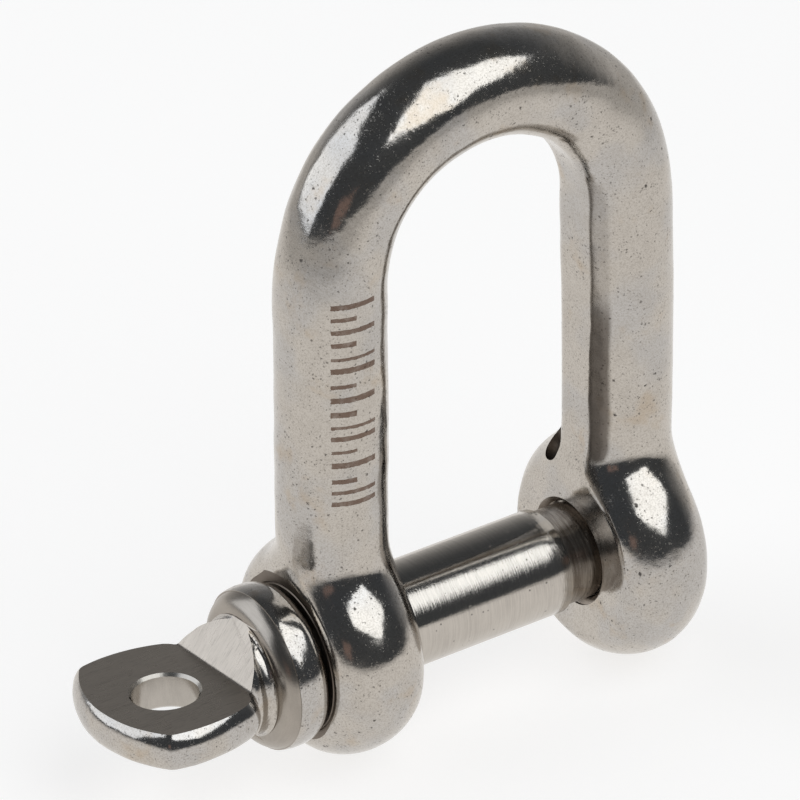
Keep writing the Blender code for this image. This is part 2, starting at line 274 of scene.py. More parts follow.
def drum_field(x, rho, drum):
    low, high, radius = drum
    return np.maximum(np.abs(x - (low + high) / 2) - (high - low) / 2, rho - radius)


def eye_field(x, y, z):
    y = y + EYE_SKEW * (x - EYE_SKEW_X)
    along = x - EYE_SIDE_CENTRE[0]
    sides = smooth_max(np.hypot(along, y + EYE_SIDE_CENTRE[1]) - EYE_SIDE_RADIUS,
                       np.hypot(along, y - EYE_SIDE_CENTRE[1]) - EYE_SIDE_RADIUS, EYE_CORNER_ROUND)
    outline = smooth_max(sides, np.hypot(x - EYE_DOME_CENTRE_X, y) - EYE_DOME_RADIUS, EYE_CORNER_ROUND)
    outline = smooth_max(outline, x - EYE_ROOT_X, EYE_ROOT_ROUND)
    return oval_field(np.maximum(outline + EYE_ROUND, 0), z, EYE_ROUND, EYE_BLANK_HALF)


def head_field(x, y, z):
    rho = np.hypot(y, z)
    forward = x - COLLAR_MIDDLE_X
    width = np.where(forward < 0, COLLAR_FRONT_WIDTH, COLLAR_BACK_WIDTH)
    power = np.where(forward < 0, 2.0, COLLAR_BACK_POWER)
    rim = oval_field(rho - COLLAR_RIM_CENTRE, forward, COLLAR_RIM_DEPTH, width, power)
    collar = np.minimum(rim, drum_field(x, rho, COLLAR_DISC))
    places, radii = zip(*NECK_SHAPE)
    across = rho - flowing(x, places, radii)
    neck = np.maximum(across, np.abs(x - (NECK_END_X + COLLAR_MIDDLE_X) / 2)
                      - (COLLAR_MIDDLE_X - NECK_END_X) / 2)
    whole = smooth_min(smooth_min(neck, eye_field(x, y, z), NECK_FILLET), collar, COLLAR_FILLET)
    return smooth_min(whole, drum_field(x, rho, STUB), STUB_FILLET)


# ---------------------------------------------------------------- meshes from fields

def slope_of(field, points, reach=0.01):
    parts = []
    for axis in range(3):
        step = np.zeros(3)
        step[axis] = reach
        parts.append((field(*(points + step).T) - field(*(points - step).T)) / (2 * reach))
    return np.stack(parts, 1)


def project(field, points, passes=2):
    for _ in range(passes):
        slope = slope_of(field, points)
        points = points - slope * (field(*points.T) / np.maximum((slope**2).sum(1), 0.05))[:, None]
    return points


def surface_net(field, low, high, step):
    """Points and quads of the surface where a field is 0, one point for each crossed grid cell."""
    counts = [int(math.ceil((h - l) / step)) + 1 for l, h in zip(low, high)]
    grid = np.meshgrid(*[l + step * np.arange(n) for l, n in zip(low, counts)], indexing="ij")
    values = field(*grid)
    cells = tuple(n - 1 for n in counts)
    size = int(np.prod(cells))
    total, hits, rings = np.zeros((size, 3)), np.zeros(size), []
    for axis in range(3):
        ahead = np.roll(values, -1, axis)
        edge = [slice(None)] * 3
        edge[axis] = slice(0, -1)
        start = np.argwhere((values < 0)[tuple(edge)] != (ahead < 0)[tuple(edge)])
        here, there = values[tuple(start.T)], ahead[tuple(start.T)]
        point = start.astype(float)
        point[:, axis] += here / (here - there)
        ring = []
        for one, other in ((0, 0), (-1, 0), (-1, -1), (0, -1)):
            cell = start.copy()
            cell[:, (axis + 1) % 3] += one
            cell[:, (axis + 2) % 3] += other
            flat = np.ravel_multi_index(tuple(cell.T), cells)
            hits += np.bincount(flat, minlength=size)
            for k in range(3):
                total[:, k] += np.bincount(flat, weights=point[:, k], minlength=size)
            ring.append(flat)
        ring = np.stack(ring, 1)
        rings.append(np.where((here < 0)[:, None], ring, ring[:, ::-1]))
    used = hits > 0
    index = np.cumsum(used) - 1
    points = np.array(low) + step * total[used] / hits[used][:, None]
    return points, index[np.concatenate(rings)]


def relax(field, points, quads, passes=6):
    """Even out the points along the surface, so that it shades smoothly."""
    starts = np.concatenate([quads[:, i] for i in range(4)] * 2)
    ends = np.concatenate([quads[:, (i + 1) % 4] for i in range(4)]
                          + [quads[:, (i - 1) % 4] for i in range(4)])
    share = np.bincount(starts, minlength=len(points))
    points = project(field, points)
    for _ in range(passes):
        mean = np.stack([np.bincount(starts, weights=points[ends, k], minlength=len(points)) / share
                         for k in range(3)], 1)
        points = project(field, points + 0.5 * (mean - points), 1)
    return points


def mesh_from(name, points, quads):
    mesh = bpy.data.meshes.new(name)
    mesh.vertices.add(len(points))
    mesh.vertices.foreach_set("co", (points * MM).astype(np.float32).ravel())
    mesh.loops.add(quads.size)
    mesh.loops.foreach_set("vertex_index", quads.astype(np.int32).ravel())
    mesh.polygons.add(len(quads))
    mesh.polygons.foreach_set("loop_start", np.arange(0, quads.size, 4, dtype=np.int32))
    mesh.update(calc_edges=True)
    mesh.validate()
    return mesh


def uneven(points, scale, height, seed):
    """How far a casting stands proud of its true shape at each point."""
    offset = Vector((seed, 2.3 * seed, 5.1 * seed))
    return height * np.array([noise.noise(Vector(p) * scale + offset) for p in points])


def cast_solid(name, field, low, high, step, waves):
    points, quads = surface_net(field, low, high, step)
    points = relax(field, points, quads)
    slope = slope_of(field, points)
    slope /= np.linalg.norm(slope, axis=1)[:, None]
    for scale, height, seed in waves:
        points = points + slope * uneven(points, scale, height, seed)[:, None]
    return mesh_from(name, points, quads)


# ---------------------------------------------------------------- turned and cut shapes

def add_object(name, data, matrix=None):
    obj = bpy.data.objects.new(name, data)
    bpy.context.scene.collection.objects.link(obj)
    if matrix is not None:
        obj.matrix_world = matrix
    return obj


def evaluated_mesh(obj):
    bpy.context.view_layer.update()
    graph = bpy.context.evaluated_depsgraph_get()
    mesh = bpy.data.meshes.new_from_object(obj.evaluated_get(graph), preserve_all_data_layers=True,
                                           depsgraph=graph)
    bpy.data.objects.remove(obj, do_unlink=True)
    return mesh


def profile_object(name, points):
    """A line through (radius, height) points, to be turned about Z."""
    mesh = bpy.data.meshes.new(name)
    edges = [(i, i + 1) for i in range(len(points) - 1)]
    mesh.from_pydata([(r * MM, 0, h * MM) for r, h in points], edges, [])
    return add_object(name, mesh)


def clean(mesh, flatten):
    shape = bmesh.new()
    shape.from_mesh(mesh)
    bmesh.ops.remove_doubles(shape, verts=shape.verts, dist=0.000001)
    if flatten:
        bmesh.ops.dissolve_limit(shape, angle_limit=math.radians(0.1), verts=shape.verts, edges=shape.edges)
    bmesh.ops.recalc_face_normals(shape, faces=shape.faces)
    shape.to_mesh(mesh)
    shape.free()


def turned(name, points, steps=TURNED_STEPS, phase=0.0, flatten=True):
    """A solid turned about the X axis from (radius, x) points that run from the far end back."""
    obj = profile_object(name, points)
    screw = obj.modifiers.new("turn", "SCREW")
    screw.steps = screw.render_steps = steps
    screw.use_merge_vertices = True
    screw.merge_threshold = 0.00001
    mesh = evaluated_mesh(obj)
    clean(mesh, flatten)
    mesh.transform(ALONG_X @ Matrix.Rotation(2 * math.pi * phase / steps, 4, "Z"))
    return add_object(name, mesh)


def thread_profile(crest_radius, root_radius, crest_width):
    flank = (crest_radius - root_radius) * FLANK_RUN_PER_RISE
    half = crest_width / 2
    middle = PITCH / 2
    return [(root_radius, PITCH), (root_radius, middle + half + flank), (crest_radius, middle + half),
            (crest_radius, middle - half), (root_radius, middle - half - flank), (root_radius, 0)]


def threaded_rod(name, profile, start, end):
    """A right-hand threaded rod along X; every rod crosses the same angle at whole pitches."""
    first = PITCH * (math.floor(start / PITCH) - 1)
    obj = profile_object(name, profile)
    screw = obj.modifiers.new("helix", "SCREW")
    screw.screw_offset = PITCH * MM
    screw.iterations = math.ceil((end - first) / PITCH) + 1
    screw.steps = screw.render_steps = THREAD_STEPS
    screw.use_merge_vertices = True
    screw.merge_threshold = 0.00001
    mesh = evaluated_mesh(obj)
    mesh.transform(Matrix.Translation((0, 0, first * MM)))
    shape = bmesh.new()
    shape.from_mesh(mesh)
    bmesh.ops.remove_doubles(shape, verts=shape.verts, dist=0.000002)
    for height, outward in ((start * MM, -1), (end * MM, 1)):
        bmesh.ops.bisect_plane(shape, geom=shape.verts[:] + shape.edges[:] + shape.faces[:],
                               plane_co=(0, 0, height), plane_no=(0, 0, outward), clear_outer=True)
        rim = [e for e in shape.edges
               if e.is_boundary and all(abs(v.co.z - height) < 0.000001 for v in e.verts)]
        bmesh.ops.holes_fill(shape, edges=rim)
    bmesh.ops.recalc_face_normals(shape, faces=shape.faces)
    shape.to_mesh(mesh)
    shape.free()
    mesh.transform(ALONG_X)
    return add_object(name, mesh)


def prism(name, points, half_width):
    """A closed (x, z) outline thickened both ways along Y."""
    shape = bmesh.new()
    front = [shape.verts.new((x * MM, -half_width * MM, z * MM)) for x, z in points]
    back = [shape.verts.new((x * MM, half_width * MM, z * MM)) for x, z in points]
    shape.faces.new(front)
    shape.faces.new(back[::-1])
    for i in range(len(points)):
        j = (i + 1) % len(points)
        shape.faces.new((front[i], front[j], back[j], back[i]))
    bmesh.ops.recalc_face_normals(shape, faces=shape.faces)
    mesh = bpy.data.meshes.new(name)
    shape.to_mesh(mesh)
    shape.free()
    return add_object(name, mesh)


def plug(radius, low, high, chamfer):
    """A round cutter between two faces that leaves the same chamfer at both of them."""
    far = 1.0
    return [(0, high + far), (radius + chamfer + far, high + far), (radius, high - chamfer),
            (radius, low + chamfer), (radius + chamfer + far, low - far), (0, low - far)]


def machined(obj, cutters):
    """The object with each cutter taken away; cut faces keep the cutter's material."""
    for cutter in cutters:
        boolean = obj.modifiers.new(cutter.name, "BOOLEAN")
        boolean.object = cutter
        boolean.operation = "DIFFERENCE"
        boolean.solver = "EXACT"
        boolean.material_mode = "TRANSFER"
    name = obj.name
    mesh = evaluated_mesh(obj)
    for cutter in cutters:
        bpy.data.objects.remove(cutter, do_unlink=True)
    mesh.name = name
    return add_object(name, mesh)


def shade(obj, angle):
    obj.data.shade_smooth()
    obj.data.set_sharp_from_angle(angle=math.radians(angle))


def finished_in(obj, material):
    obj.data.materials.clear()
    obj.data.materials.append(material)
    return obj


# ---------------------------------------------------------------- materials

class Look:
    """A small helper that adds and links shader nodes in one line each."""

    def __init__(self, name, color, roughness):
        self.material = bpy.data.materials.new(name)
        self.material.use_nodes = True
        self.tree = self.material.node_tree
        self.shader = self.tree.nodes["Principled BSDF"]
        self.shader.inputs["Base Color"].default_value = (*color, 1)
        self.shader.inputs["Roughness"].default_value = roughness
        self.shader.inputs["Metallic"].default_value = 1.0
        place = self.node("ShaderNodeTexCoord")
        self.mm = self.vector("SCALE", place.outputs["Object"], scale=1 / MM)

    def node(self, kind, **settings):
        made = self.tree.nodes.new(kind)
        for key, value in settings.items():
            setattr(made, key, value)
        return made

    def put(self, socket, value):
        if isinstance(value, bpy.types.NodeSocket):
            self.tree.links.new(value, socket)
        elif isinstance(value, (tuple, list)) and len(value) == 3 and socket.type == "RGBA":
            socket.default_value = (*value, 1)
        else:
            socket.default_value = value

    def vector(self, operation, a, b=None, scale=None):
        made = self.node("ShaderNodeVectorMath", operation=operation)
        self.put(made.inputs[0], a)
        if b is not None:
            self.put(made.inputs[1], b)
        if scale is not None:
            self.put(made.inputs["Scale"], scale)
        return made.outputs[0]

    def math(self, operation, a, b=0.0, c=0.0):
        made = self.node("ShaderNodeMath", operation=operation)
        for socket, value in zip(made.inputs, (a, b, c)):
            self.put(socket, value)
        return made.outputs[0]

    def noise(self, scale, detail=2.0, where=None, rough=0.5):
        made = self.node("ShaderNodeTexNoise")
        self.put(made.inputs["Vector"], where or self.mm)
        self.put(made.inputs["Scale"], scale)
        self.put(made.inputs["Detail"], detail)
        self.put(made.inputs["Roughness"], rough)
        return made.outputs["Fac"]

    def stretched(self, x, y, z):
        return self.vector("MULTIPLY", self.mm, (x, y, z))

    def ramp(self, value, low, high, to_low=0.0, to_high=1.0):
        made = self.node("ShaderNodeMapRange", interpolation_type="SMOOTHSTEP")
        for socket, number in zip(made.inputs, (value, low, high, to_low, to_high)):
            self.put(socket, number)
        return made.outputs[0]

    def mix(self, share, a, b):
        made = self.node("ShaderNodeMix", data_type="RGBA")
        self.put(made.inputs[0], share)
        self.put(made.inputs[6], a)
        self.put(made.inputs[7], b)
        return made.outputs[2]

    def pits(self, scale, radius, share, wander=None):
        """1 in small round pits about points that are scattered at this scale, for a share of them."""
        cells = self.node("ShaderNodeTexVoronoi")
        self.put(cells.inputs["Vector"], wander or self.mm)
        self.put(cells.inputs["Scale"], scale)
        picked = self.node("ShaderNodeSeparateColor")
        self.put(picked.inputs[0], cells.outputs["Color"])
        chosen = self.math("LESS_THAN", picked.outputs[0], share)
        size = self.math("MULTIPLY_ADD", picked.outputs[1], 0.8 * radius * scale, 0.5 * radius * scale)
        depth = self.math("DIVIDE", cells.outputs["Distance"], size)
        return self.math("MULTIPLY", chosen, self.ramp(depth, 0.45, 1.0, 1.0, 0.0))

    def bump(self, height):
        """Raise the surface by a height in millimetres."""
        made = self.node("ShaderNodeBump")
        self.put(made.inputs["Strength"], 1.0)
        self.put(made.inputs["Distance"], MM)
        self.put(made.inputs["Height"], height)
        self.put(self.shader.inputs["Normal"], made.outputs["Normal"])


STEEL = (0.585, 0.549, 0.503)
STEEL_DULL = (0.44, 0.405, 0.365)
STEEL_DARK = (0.085, 0.075, 0.068)
STEEL_GRAIN = (0.33, 0.30, 0.265)
STEEL_COOL = (0.537, 0.521, 0.505)
STAIN = (0.47, 0.37, 0.26)
MARK_BROWN = (0.15, 0.095, 0.070)
DARK_BROWN = (0.18, 0.150, 0.125)
FACET = (0.125, 0.105, 0.088)

# Each kind's scatter, radius, extra share where pits crowd, share elsewhere, and depth of colour.
PIT_KINDS = ((8.0, 0.042, 0.55, 0.34, 0.55), (4.4, 0.060, 0.50, 0.14, 0.75),
             (1.8, 0.095, 0.40, 0.07, 1.0))

# The generic mark up the plain leg: bars of two lengths, each from and to a height above its foot.
MARK_X = (-8.80, -6.80)
MARK_MIDDLE_X = -7.75
MARK_FOOT_Z = 8.35
MARK_LENGTH = 10.0
LONG_BARS = ((0.0, 0.24), (0.62, 0.80), (1.95, 2.20), (3.25, 3.50), (3.84, 4.02), (5.15, 5.40), (6.60, 6.84),
             (7.20, 7.38), (8.50, 8.75), (9.70, 9.95))
SHORT_BARS = ((1.15, 1.40), (2.62, 2.80), (4.45, 4.70), (5.84, 6.02), (7.86, 8.10), (9.12, 9.30))


def cast_surface(look):
    """Tumbled stainless casting: soft waves, fine grain, crowded pits and faint warm stains."""
    wander = look.node("ShaderNodeTexNoise")
    look.put(wander.inputs["Vector"], look.mm)
    look.put(wander.inputs["Scale"], 9.0)
    moved = look.vector("ADD", look.mm, look.vector("SCALE", wander.outputs["Color"], scale=0.16))
    dense = look.ramp(look.noise(0.42, 3.0, rough=0.6), 0.42, 0.66)
    pits = 0.0
    for scale, radius, crowded, sparse, depth in PIT_KINDS:
        kind = look.pits(scale, radius, look.math("MULTIPLY_ADD", dense, crowded, sparse), moved)
        pits = look.math("MAXIMUM", pits, look.math("MULTIPLY", kind, depth))
    grain = look.noise(12.0, 3.0, rough=0.7)
    cloud = look.noise(0.8, 4.0, rough=0.6)
    patch = look.noise(0.33, 2.0)
    waves = look.noise(1.1, 2.0)
    color = look.mix(look.ramp(patch, 0.42, 0.60), STEEL, STEEL_COOL)
    color = look.mix(look.ramp(cloud, 0.35, 0.75, 0.0, 0.30), color, STEEL_DULL)
    color = look.mix(look.ramp(grain, 0.42, 0.64, 0.0, 0.44), color, STEEL_GRAIN)
    stain = look.math("MULTIPLY", look.ramp(look.noise(0.45, 3.0, rough=0.65), 0.56, 0.74), 0.45)
    color = look.mix(stain, color, STAIN)
    color = look.mix(look.math("MULTIPLY", pits, 0.85), color, STEEL_DARK)
    roughness = look.math("MULTIPLY_ADD", look.ramp(cloud, 0.3, 0.75), 0.07, 0.10)
    roughness = look.math("ADD", roughness, look.math("MULTIPLY", pits, 0.35))
    height = look.math("MULTIPLY", grain, 0.0018)
    height = look.math("MULTIPLY_ADD", waves, 0.020, height)
    height = look.math("MULTIPLY_ADD", pits, -0.0025, height)
    return color, roughness, height


def ladder(look, along, bars):
    """1 on each bar along the mark, 0 between them."""
    made = look.node("ShaderNodeValToRGB")
    ramp = made.color_ramp
    ramp.interpolation = "CONSTANT"
    ramp.elements[0].color = (0, 0, 0, 1)
    ramp.elements[1].position = bars[0][1] / MARK_LENGTH
    ramp.elements[1].color = (0, 0, 0, 1)
    ramp.elements.new(max(bars[0][0], 0.01) / MARK_LENGTH).color = (1, 1, 1, 1)
    for low, high in bars[1:]:
        ramp.elements.new(low / MARK_LENGTH).color = (1, 1, 1, 1)
        ramp.elements.new(high / MARK_LENGTH).color = (0, 0, 0, 1)
    look.put(made.inputs[0], look.math("DIVIDE", along, MARK_LENGTH))
    return made.outputs[0]


def mark_share(look):
    """A generic row of bars etched up the front of the plain leg."""
    place = look.node("ShaderNodeSeparateXYZ")
    look.put(place.inputs[0], look.mm)
    x, y, z = place.outputs
    edge = look.math("MULTIPLY", look.math("SUBTRACT", look.noise(6.0, 2.0), 0.5), 0.08)
    along = look.math("ADD", look.math("SUBTRACT", z, MARK_FOOT_Z), edge)
    across = look.math("ADD", x, edge)
    left = look.math("LESS_THAN", across, MARK_MIDDLE_X)
    short = look.math("MULTIPLY", left, ladder(look, along, SHORT_BARS))
    bars = look.math("MAXIMUM", short, ladder(look, along, LONG_BARS))
    inside = look.math("MULTIPLY", look.math("GREATER_THAN", across, MARK_X[0]),
                       look.math("LESS_THAN", across, MARK_X[1]))
    inside = look.math("MULTIPLY", inside, look.math("LESS_THAN", y, -1.0))
    burnt = look.ramp(look.noise(3.0, 3.0), 0.25, 0.60, 0.70, 0.90)
    return look.math("MULTIPLY", look.math("MULTIPLY", inside, bars), burnt)


def dressed_share(look):
    """1 on the narrow facet that was dressed along the tapped leg."""
    geometry = look.node("ShaderNodeNewGeometry")
    facing = look.node("ShaderNodeVectorMath", operation="DOT_PRODUCT")
    look.put(facing.inputs[0], geometry.outputs["Normal"])
    look.put(facing.inputs[1], (-math.cos(DRESSED_TILT), -math.sin(DRESSED_TILT), 0))
    place = look.node("ShaderNodeSeparateXYZ")
    look.put(place.inputs[0], look.mm)
    share = look.ramp(facing.outputs["Value"], 0.955, 0.985)
    share = look.math("MULTIPLY", share, look.math("GREATER_THAN", place.outputs[0], 4.0))
    share = look.math("MULTIPLY", share, look.ramp(place.outputs[2], 3.2, 4.2))
    return look.math("MULTIPLY", share, look.ramp(place.outputs[2], DRESSED_TOP, DRESSED_TOP + 2, 1.0, 0.35))


def cast_steel(name, marked=False):
    look = Look(name, STEEL, 0.2)
    color, roughness, height = cast_surface(look)
    if marked:
        dressed = dressed_share(look)
        color = look.mix(look.math("MULTIPLY", dressed, 0.82), color, FACET)
        roughness = look.math("MULTIPLY_ADD", dressed, 0.22, roughness)
        mark = mark_share(look)
        color = look.mix(mark, color, MARK_BROWN)
        roughness = look.math("MULTIPLY_ADD", mark, 0.22, roughness)
        height = look.math("MULTIPLY_ADD", mark, -0.004, height)
    look.put(look.shader.inputs["Base Color"], color)
    look.put(look.shader.inputs["Roughness"], roughness)
    look.bump(height)
    return look.material


def turned_steel(name, color, roughness, ridges, depth, dark_from=None, pitted=0.0):
    """Turned steel: fine rings round the X axis, a little uneven, and darkened beyond dark_from."""
    look = Look(name, color, roughness)
    rings = look.noise(1.0, 3.0, look.stretched(ridges, 0.5, 0.5), rough=0.75)
    fuzz = look.noise(1.0, 2.0, look.stretched(3.0, 9.0, 9.0))
    cloud = look.noise(0.7, 3.0)
    share = look.math("MULTIPLY_ADD", rings, 0.6, look.math("MULTIPLY", cloud, 0.4))
    made = look.mix(look.ramp(share, 0.35, 0.7, 0.0, 0.45), color, tuple(0.66 * c for c in color))
    rough = look.math("MULTIPLY_ADD", cloud, 0.10, roughness - 0.05)
    height = look.math("MULTIPLY_ADD", rings, depth, look.math("MULTIPLY", fuzz, 0.3 * depth))
    if pitted:
        pits = look.math("MULTIPLY", look.pits(3.2, 0.055, 0.35), pitted)
        made = look.mix(look.math("MULTIPLY", pits, 0.6), made, STEEL_DARK)
        height = look.math("MULTIPLY_ADD", pits, -0.010, height)
    if dark_from is not None:
        # Beyond dark_from the steel turns a darker, streaky brown.
        place = look.node("ShaderNodeSeparateXYZ")
        look.put(place.inputs[0], look.mm)
        dark = look.ramp(place.outputs[0], dark_from, dark_from + 0.06)
        turns = look.noise(1.0, 3.0, look.stretched(9.0, 0.6, 0.6), rough=0.7)
        darker_share = look.ramp(turns, 0.35, 0.65, 0.42, 0.90)
        made = look.mix(look.math("MULTIPLY", dark, darker_share), made, DARK_BROWN)
        rough = look.math("MULTIPLY_ADD", dark, 0.14, rough)
        height = look.math("MULTIPLY_ADD", look.math("MULTIPLY", dark, turns), 0.010, height)
    look.put(look.shader.inputs["Base Color"], made)
    look.put(look.shader.inputs["Roughness"], rough)
    look.bump(height)
    return look.material


def ground_steel(name, color, roughness, depth):
    """A ground face: fine scratches along X."""
    look = Look(name, color, roughness)
    lines = look.noise(1.0, 3.0, look.stretched(1.1, 22.0, 1.1), rough=0.75)
    broad = look.noise(1.0, 2.0, look.stretched(0.25, 4.0, 0.25))
    cloud = look.noise(1.2, 3.0)
    share = look.math("MULTIPLY_ADD", lines, 0.6, look.math("MULTIPLY", broad, 0.4))
    scores = look.noise(1.0, 2.0, look.stretched(1.6, 34.0, 1.6), rough=0.6)
    made = look.mix(look.ramp(share, 0.35, 0.65, 0.0, 0.35), color, tuple(0.72 * c for c in color))
    made = look.mix(look.ramp(scores, 0.56, 0.68, 0.0, 0.75), made, tuple(0.55 * c for c in color))
    look.put(look.shader.inputs["Base Color"], made)
    look.put(look.shader.inputs["Roughness"], look.math("MULTIPLY_ADD", cloud, 0.10, roughness - 0.05))
    look.bump(look.math("MULTIPLY_ADD", lines, depth, look.math("MULTIPLY", broad, 0.5 * depth)))
    return look.material


# ---------------------------------------------------------------- the pieces

def make_bow(cast, bored, faced, hollow_shade):
    mesh = cast_solid("bow_casting", bow_field, *BOW_BOX, BOW_MESH_STEP, BOW_WAVES)
    bow = finished_in(add_object("bow_casting", mesh), cast)
    cutters = []
    # Each ear's faced ring and groove take the faced material, whose dark colour is painted shade.
    for ear in (PLAIN_EAR, TAPPED_EAR):
        side = math.copysign(1, ear["back"])
        face = ear["back"] - side * SPOT_FACE_DEPTH
        groove = face - side * GROOVE_DEPTH
        outline = [(0, face + side), (SPOT_FACE_RADIUS, face + side), (SPOT_FACE_RADIUS, face),
                   (GROOVE_RADIUS + GROOVE_HALF_WIDTH, face), (GROOVE_RADIUS, groove),
                   (GROOVE_RADIUS - GROOVE_HALF_WIDTH, face), (0, face)]
        cutters.append(finished_in(turned("spot_face", outline, CUT_STEPS, 0.2), faced))
    plain_face = PLAIN_EAR["back"] + SPOT_FACE_DEPTH
    tapped_face = TAPPED_EAR["back"] - SPOT_FACE_DEPTH
    bore = plug(BORE_RADIUS, plain_face, PLAIN_EAR["jaw"], BORE_CHAMFER)
    cutters.append(finished_in(turned("plain_bore", bore, CUT_STEPS, CUT_PHASE), bored))
    core = NUT_CREST_RADIUS - TAP_CORE_GAP
    groove = thread_profile(NUT_THREAD_RADIUS, NUT_CREST_RADIUS, NUT_GROOVE_WIDTH)
    tap = threaded_rod("tap", groove, TAPPED_EAR["jaw"] - PITCH, TAPPED_EAR["back"] + PITCH)
    cutters.append(finished_in(tap, bored))
    mouths = plug(core, TAPPED_EAR["jaw"], tapped_face, NUT_THREAD_RADIUS - core)
    cutters.append(finished_in(turned("thread_mouths", mouths, CUT_STEPS, CUT_PHASE), bored))
    # The hollow's cut faces take the dark hollow material, which paints shade into it.
    hollow = turned("hollow", [(math.sin(a), -math.cos(a)) for a in np.linspace(math.pi, 0, 17)], 32)
    hollow.data.transform(Matrix.Translation(Vector(HOLLOW_PLACE) * MM) @ Matrix.Diagonal((*HOLLOW_SIZE, 1)))
    cutters.append(finished_in(hollow, hollow_shade))
    bow = machined(bow, cutters)
    shade(bow, BOW_SMOOTH_BELOW)
    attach(bow, "bow")
    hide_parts("bow")


def slope_outline(side):
    """What is ground off one face of the eye: flat over the eye, then a ramp up to the collar."""
    far = EYE_DOME_CENTRE_X - EYE_DOME_RADIUS - 2
    points = [(far, EYE_HALF_THICKNESS)]
    for i in range(5):
        a = SLOPE_ANGLE * i / 4
        points.append((SLOPE_FOOT_X + SLOPE_FILLET * math.sin(a),
                       EYE_HALF_THICKNESS + SLOPE_FILLET * (1 - math.cos(a))))
    x, z = points[-1]
    points += [(x + (SLOPE_TOP - z) / math.tan(SLOPE_ANGLE), SLOPE_TOP), SLOPE_LIP, (far, SLOPE_LIP[1])]
    return [(x, side * z) for x, z in points]


def make_head(cast, ground, drilled, dulled):
    mesh = cast_solid("pin_eye_and_collar", head_field, *HEAD_BOX, HEAD_MESH_STEP, HEAD_WAVES)
    head = finished_in(add_object("pin_eye_and_collar", mesh), cast)
    cutters = []
    for side in (1, -1):
        relief = finished_in(prism("relief", slope_outline(side), SLOPE_HALF_WIDTH), ground)
        foot = Vector((SLOPE_FOOT_X * MM, 0, 0))
        relief.data.transform(Matrix.Translation(foot) @ Matrix.Rotation(-SLOPE_SKEW, 4, "Z")
                              @ Matrix.Translation(-foot))
        cutters.append(relief)
    bore = plug(HOLE_RADIUS, -EYE_HALF_THICKNESS, EYE_HALF_THICKNESS, HOLE_CHAMFER)
    hole = turned("eye_hole", bore, HOLE_STEPS)
    hole.data.transform(ALONG_X)
    hole.data.transform(Matrix.Translation((HOLE_X * MM, HOLE_Y * MM, 0)))
    cutters.append(finished_in(hole, drilled))
    from_x, from_radius = RING_FROM
    arc = [(COLLAR_RIM_CENTRE + RING_OVAL[1] * math.sin(a), COLLAR_MIDDLE_X - RING_OVAL[0] * math.cos(a))
           for a in np.radians(np.linspace(*RING_ARC, 9))]
    ring = [(from_radius, from_x)] + arc + [
        (RING_REACH, arc[-1][1] + 0.1), (RING_REACH, from_x - 0.4), (from_radius + 0.15, from_x - 0.4),
        (from_radius, from_x)]
    cutters.append(finished_in(turned("front_ring", ring), dulled))
    head = machined(head, cutters)
    head.data.transform(Matrix.Rotation(EYE_TURN, 4, "X"))
    shade(head, HEAD_SMOOTH_BELOW)
    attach(head, "pin_screw")
    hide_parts("pin_head")


def make_shank(polished):
    edge = SHANK_EDGE
    outline = [(0, SHANK_END_X), (CORE_RADIUS, SHANK_END_X), (CORE_RADIUS, RELIEF_END_X + 0.08),
               (RELIEF_RADIUS - edge, RELIEF_END_X), (RELIEF_RADIUS, RELIEF_END_X - edge),
               (RELIEF_RADIUS, SHOULDER_X + 0.10), (RELIEF_RADIUS + 0.04, SHOULDER_X + 0.03),
               (SHANK_RADIUS - edge, SHOULDER_X), (SHANK_RADIUS - 0.3 * edge, SHOULDER_X - 0.4 * edge),
               (SHANK_RADIUS, SHOULDER_X - edge), (SHANK_RADIUS, SHOULDER_X - 1.0), (SHANK_RADIUS, 0),
               (SHANK_RADIUS, SHANK_START_X), (0, SHANK_START_X)]
    shank = finished_in(turned("pin_shank_polished", outline, flatten=False), polished)
    shade(shank, SHANK_SMOOTH_BELOW)
    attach(shank, "pin_slider")
    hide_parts("pin_shank")


def make_thread(threaded):
    ridge = thread_profile(PIN_THREAD_RADIUS, PIN_ROOT_RADIUS, PIN_CREST_WIDTH)
    thread = finished_in(threaded_rod("pin_thread_cut", ridge, THREAD_START_X, THREAD_END_X), threaded)
    far = THREAD_END_X + 1
    tip = [(PIN_THREAD_RADIUS + 1, far), (PIN_THREAD_RADIUS + 1, THREAD_END_X - TIP_CHAMFER - 1),
           (PIN_THREAD_RADIUS - TIP_CHAMFER - 1, far), (PIN_THREAD_RADIUS + 1, far)]
    thread = machined(thread, [finished_in(turned("tip_chamfer", tip, CUT_STEPS, CUT_PHASE), threaded)])
    shade(thread, THREAD_SMOOTH_BELOW)
    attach(thread, "pin_screw")
    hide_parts("pin_thread")


# ---------------------------------------------------------------- studio

FLOOR_Z = -5.42
ROOM_LEVEL = 0.072
ROOM_TINT = (0.85, 0.92, 1.0)
GLOW_TOP = 0.85
GLOW_FALL = 1.6
GLOW_AZIMUTH = 42
GLOW_FACING = (0.15, 0.80)
GLOW_LEVEL = 0.50
GLOW_TINT = (1.0, 0.97, 0.94)
BACKDROP = (0.93, 0.93, 0.93)
FLOOR_RADIUS = 3.0
FLOOR_GLOW = 0.70
FLOOR_TONE = (0.50, 0.485, 0.47)
FLOOR_WARMTH = (1.0, 0.979, 0.953)
FLOOR_FADE = (0.04, 0.16)
FLOOR_LEVELS = (0.88, 0.52)


def direction(azimuth, elevation):
    """A unit vector; azimuth 0 is +Y and 90 is +X."""
    a, e = math.radians(azimuth), math.radians(elevation)
    return Vector((math.sin(a) * math.cos(e), math.cos(a) * math.cos(e), math.sin(e)))


